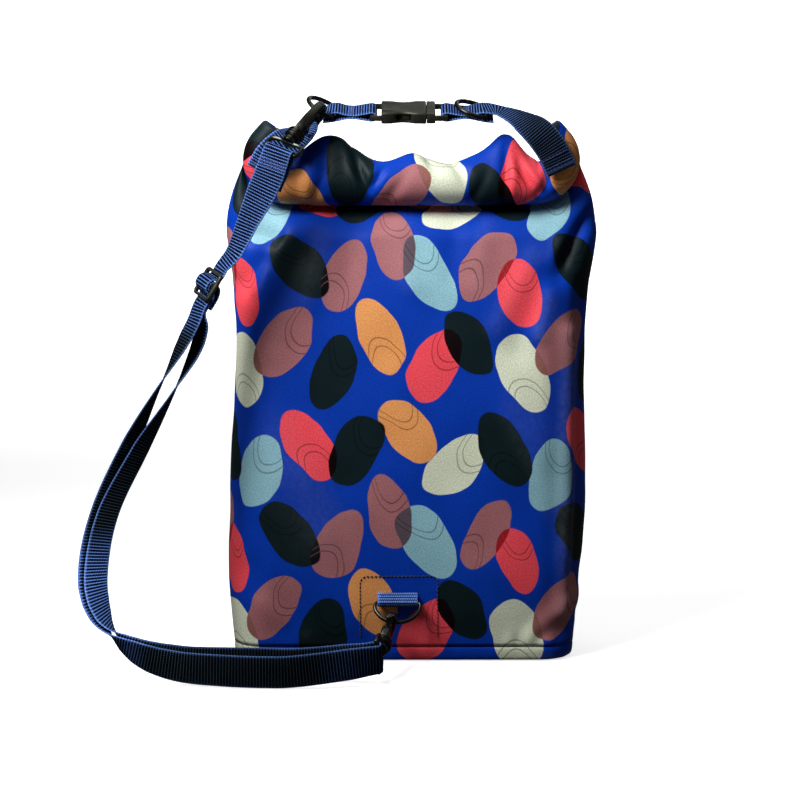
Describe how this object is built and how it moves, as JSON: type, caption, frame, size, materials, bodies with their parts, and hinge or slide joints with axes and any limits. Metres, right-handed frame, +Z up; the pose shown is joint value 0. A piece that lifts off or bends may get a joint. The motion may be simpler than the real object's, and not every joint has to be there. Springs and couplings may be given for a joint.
{
  "type": "roll-top backpack",
  "caption": "Roll-top bag of coated cloth, its collar rolled forward and buckled into a carrying handle, with a shoulder strap clipped on by swivel snap hooks.",
  "frame": {"origin": "on the floor under the base panel, 6 mm to the right of its middle", "axes": "+Z up from the base to the roll, -Y out of the front with the ring tab, +X to the viewer's right"},
  "size_m": [0.403, 0.1849, 0.4471],
  "materials": {
    "bag_cloth": "smooth coated cloth with a satin sheen and an overall pattern of overlapping ovals on blue",
    "webbing": "ribbed woven webbing",
    "hardware": "moulded black plastic with a slight gloss"
  },
  "bodies": {
    "bag": {"bag_body": "bag_cloth", "base_panel": "bag_cloth", "closure_strap_left": "webbing", "closure_strap_right": "webbing", "shoulder_strap": "webbing", "ring_tab": "webbing", "buckle_socket": "hardware", "buckle_plug": "hardware", "ring_left": "hardware", "ring_base": "hardware", "strap_slider": "hardware", "hook_top_swivel": "hardware", "hook_base_swivel": "hardware"},
    "ring_right": {"ring_right": "hardware"},
    "hook_top": {"hook_top_body": "hardware"},
    "hook_top_gate": {"hook_top_gate": "hardware"},
    "hook_base": {"hook_base_body": "hardware"},
    "hook_base_gate": {"hook_base_gate": "hardware"}
  },
  "joints": [
    {"name": "ring_right_hinge", "type": "hinge", "parent": "bag", "child": "ring_right", "pos_m": [0.056, -0.018, 0.434], "axis": [0, 0.9511, 0.309], "range_deg": [0, 130]},
    {"name": "hook_top_swivel_turn", "type": "hinge", "parent": "bag", "child": "hook_top", "pos_m": [-0.08808, -0.05123, 0.41854], "axis": [0.5549, 0.5844, 0.592], "range_deg": [0, 14]},
    {"name": "hook_top_gate_hinge", "type": "hinge", "parent": "hook_top", "child": "hook_top_gate", "pos_m": [-0.085, -0.04167, 0.41904], "axis": [0.814, -0.2347, -0.5313], "range_deg": [0, 20], "stiffness_Nm_per_rad": 0.01, "springref_deg": -11.46},
    {"name": "hook_base_swivel_turn", "type": "hinge", "parent": "bag", "child": "hook_base", "pos_m": [-0.02172, -0.096, 0.02847], "axis": [0.2038, 0.9336, 0.2946], "range_deg": [-12, 12]},
    {"name": "hook_base_gate_hinge", "type": "hinge", "parent": "hook_base", "child": "hook_base_gate", "pos_m": [-0.01947, -0.09101, 0.03692], "axis": [-0.9734, 0.161, 0.1633], "range_deg": [0, 20], "stiffness_Nm_per_rad": 0.01, "springref_deg": -11.46}
  ]
}
